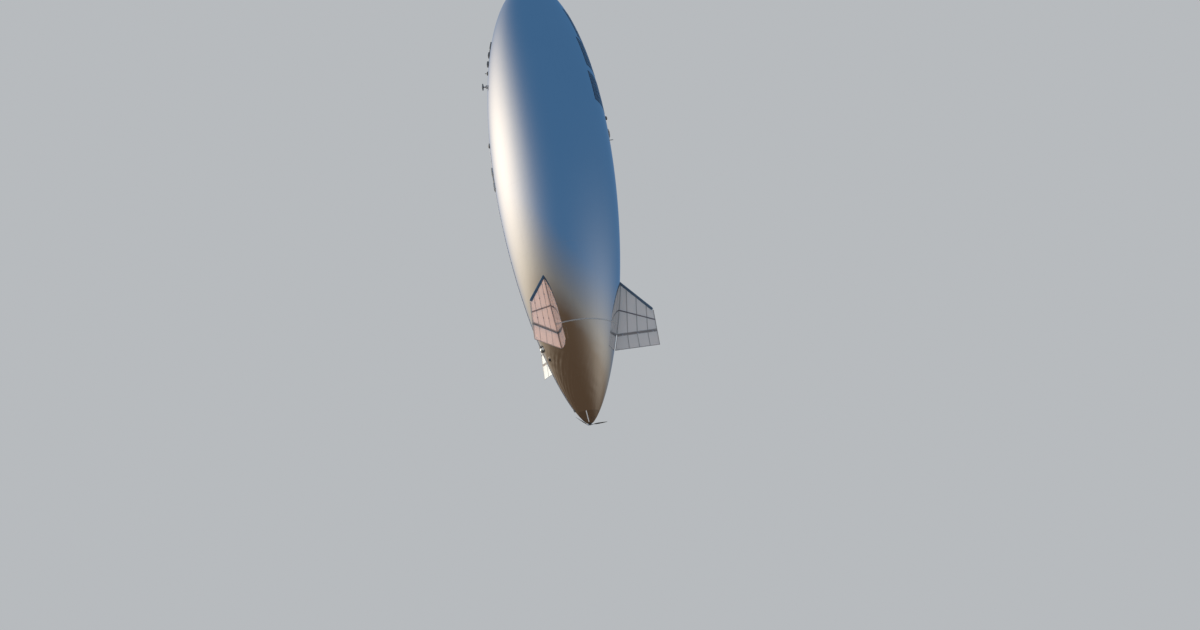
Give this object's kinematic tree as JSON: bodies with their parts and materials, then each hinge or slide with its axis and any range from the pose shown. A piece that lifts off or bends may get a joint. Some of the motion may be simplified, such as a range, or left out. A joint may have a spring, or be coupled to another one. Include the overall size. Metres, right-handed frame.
{
  "type": "uncrewed solar airship, 1:2 scale model",
  "caption": "Silver teardrop airship held nose up, with framed tail fins and rudders, dorsal solar blocks, belly equipment, a rigid tail cone and a folding pusher propeller.",
  "frame": {"origin": "the hull's centre of buoyancy on its axis, where the air holds it up", "axes": "+Z along the hull's axis from tail to nose, +X out of the back where the solar blocks are, -Y to port"},
  "size_m": [9.0398, 8.5592, 32.702],
  "materials": {
    "envelope_film": "bright metallised film laminate, faintly wrinkled",
    "seam_tape": "satin bonded tape",
    "alloy": "satin machined",
    "composite": "dark carbon composite, satin",
    "solar_cells": "thin film cells under clear film",
    "fin_cloth": "thin translucent white skin",
    "fin_blue": "dark blue satin",
    "equipment": "dark grey satin",
    "white_plastic": "white moulded"
  },
  "bodies": {
    "airframe": {"envelope_tail": "envelope_film", "envelope_hull": "envelope_film", "seam_band": "seam_tape", "nose_dish": "alloy", "nose_spindle": "alloy", "tail_cone": "composite", "tail_motor": "equipment", "fin_dorsal_panel": "fin_cloth", "fin_dorsal_leading_edge": "fin_blue", "fin_port_panel": "fin_cloth", "fin_port_leading_edge": "fin_blue", "fin_starboard_panel": "fin_cloth", "fin_starboard_leading_edge": "fin_blue", "solar_forward": "solar_cells", "solar_middle": "solar_cells", "solar_aft": "solar_cells", "payload_box_1": "equipment", "payload_box_2": "equipment", "payload_box_3": "equipment", "antenna_base": "equipment", "power_box_1": "equipment", "power_box_2": "equipment", "power_box_3": "equipment", "tail_blower": "white_plastic", "payload_dome": "equipment", "aft_pod": "equipment", "antenna_strut": "alloy", "antenna_plate": "equipment", "keel_raceway": "equipment", "keel_conduit": "equipment", "keel_bracket": "equipment", "gas_valve": "alloy", "beacon": "composite", "whip_aerial": "composite", "tail_port": "composite"},
    "propeller": {"propeller_hub": "equipment"},
    "blade_open": {"blade_open": "composite"},
    "blade_folded": {"blade_folded": "composite"},
    "rudder_dorsal": {"rudder_dorsal": "fin_cloth"},
    "rudder_port": {"rudder_port": "fin_cloth"},
    "rudder_starboard": {"rudder_starboard": "fin_cloth"}
  },
  "joints": [
    {"name": "propeller_spin", "type": "hinge", "parent": "airframe", "child": "propeller", "pos_m": [0, 0, -17.58], "axis": [0, 0, 1], "continuous": true},
    {"name": "blade_open_fold", "type": "hinge", "parent": "propeller", "child": "blade_open", "pos_m": [0.12873, -0.01809, -17.58], "axis": [-0.1392, -0.9903, 0], "range_deg": [0, 42]},
    {"name": "blade_folded_fold", "type": "hinge", "parent": "propeller", "child": "blade_folded", "pos_m": [-0.12873, 0.01809, -17.58], "axis": [0.1392, 0.9903, 0], "range_deg": [-42, 0]},
    {"name": "rudder_dorsal_turn", "type": "hinge", "parent": "airframe", "child": "rudder_dorsal", "pos_m": [3.7, 0, -12.36], "axis": [1, 0, 0], "range_deg": [-25, 25]},
    {"name": "rudder_port_turn", "type": "hinge", "parent": "airframe", "child": "rudder_port", "pos_m": [-1.85, -3.20429, -12.36], "axis": [-0.5, -0.866, 0], "range_deg": [-25, 25]},
    {"name": "rudder_starboard_turn", "type": "hinge", "parent": "airframe", "child": "rudder_starboard", "pos_m": [-1.85, 3.20429, -12.36], "axis": [-0.5, 0.866, 0], "range_deg": [-25, 25]}
  ]
}
